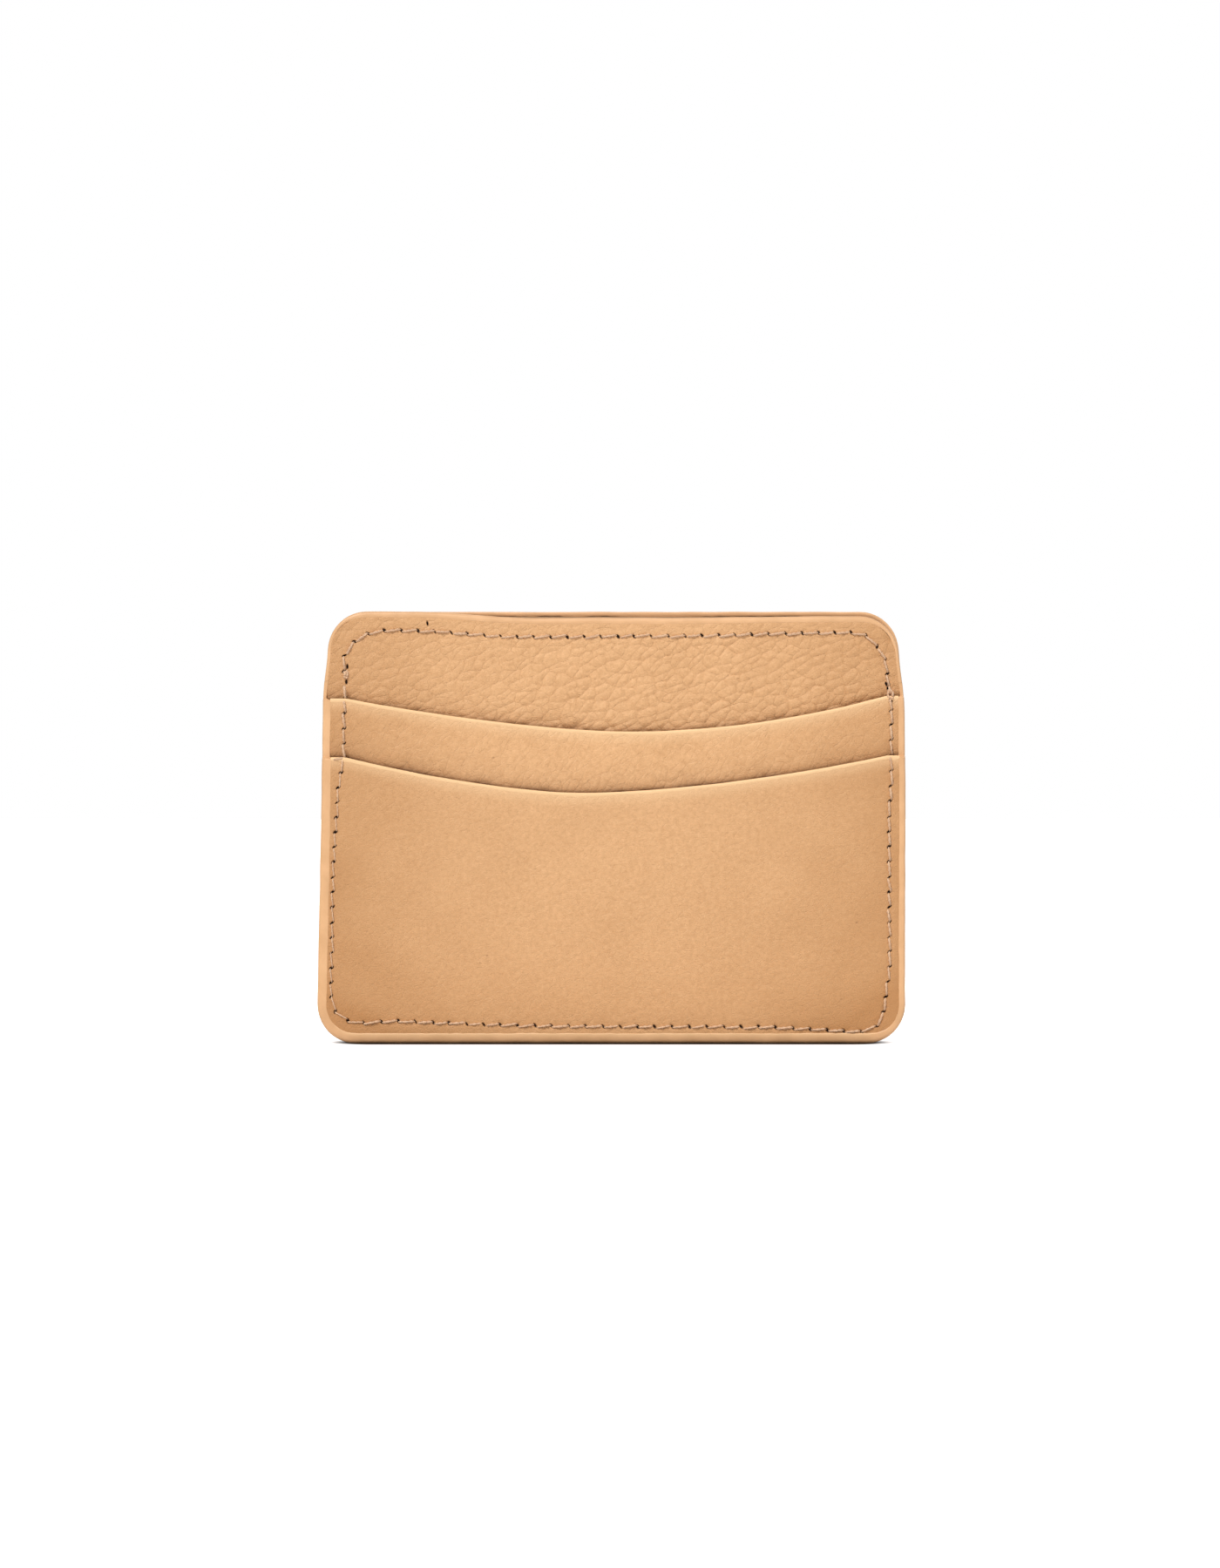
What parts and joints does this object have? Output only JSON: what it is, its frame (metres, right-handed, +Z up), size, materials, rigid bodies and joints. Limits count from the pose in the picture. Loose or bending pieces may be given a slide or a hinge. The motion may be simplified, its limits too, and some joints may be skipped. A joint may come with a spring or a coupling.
{
  "type": "leather card holder",
  "caption": "Slim leather card holder with curved card slots stacked on both faces of an open-topped centre pocket, stitched and edge-painted all round.",
  "frame": {"origin": "middle of the bottom edge, on the surface that the holder stands on", "axes": "+X across the holder to the viewer's right, -Y is the front with the pebbled top band, +Z up"},
  "size_m": [0.0999, 0.0084, 0.074],
  "materials": {
    "pebbled_leather": "light tan full-grain leather with a pronounced pebble grain, satin",
    "fine_leather": "light tan leather with fine grain and fine diagonal wrinkles, satin",
    "smooth_leather": "light tan smooth natural leather with very fine grain and a few pores, satin",
    "lining_leather": "thin split leather lining, tan, matt with a soft nap",
    "edge_paint": "pale tan edge paint, rounded and slightly glossy",
    "thread": "pale tan twisted polyester sewing thread, satin"
  },
  "bodies": {
    "root": {"front_lining": "lining_leather", "front_panel": "pebbled_leather", "front_upper_slot": "fine_leather", "front_lower_slot": "smooth_leather", "front_upper_slot_mouth_coat": "edge_paint", "front_lower_slot_mouth_coat": "edge_paint", "front_top_edge_coat": "edge_paint", "front_top_seam_outer_thread": "thread", "front_top_seam_inner_thread": "thread", "back_lining": "lining_leather", "back_panel": "pebbled_leather", "back_upper_slot": "fine_leather", "back_lower_slot": "smooth_leather", "back_upper_slot_mouth_coat": "edge_paint", "back_lower_slot_mouth_coat": "edge_paint", "back_top_edge_coat": "edge_paint", "back_top_seam_outer_thread": "thread", "back_top_seam_inner_thread": "thread", "side_and_bottom_edge_coat": "edge_paint", "side_seam_front_thread": "thread", "side_seam_back_thread": "thread"}
  },
  "joints": []
}
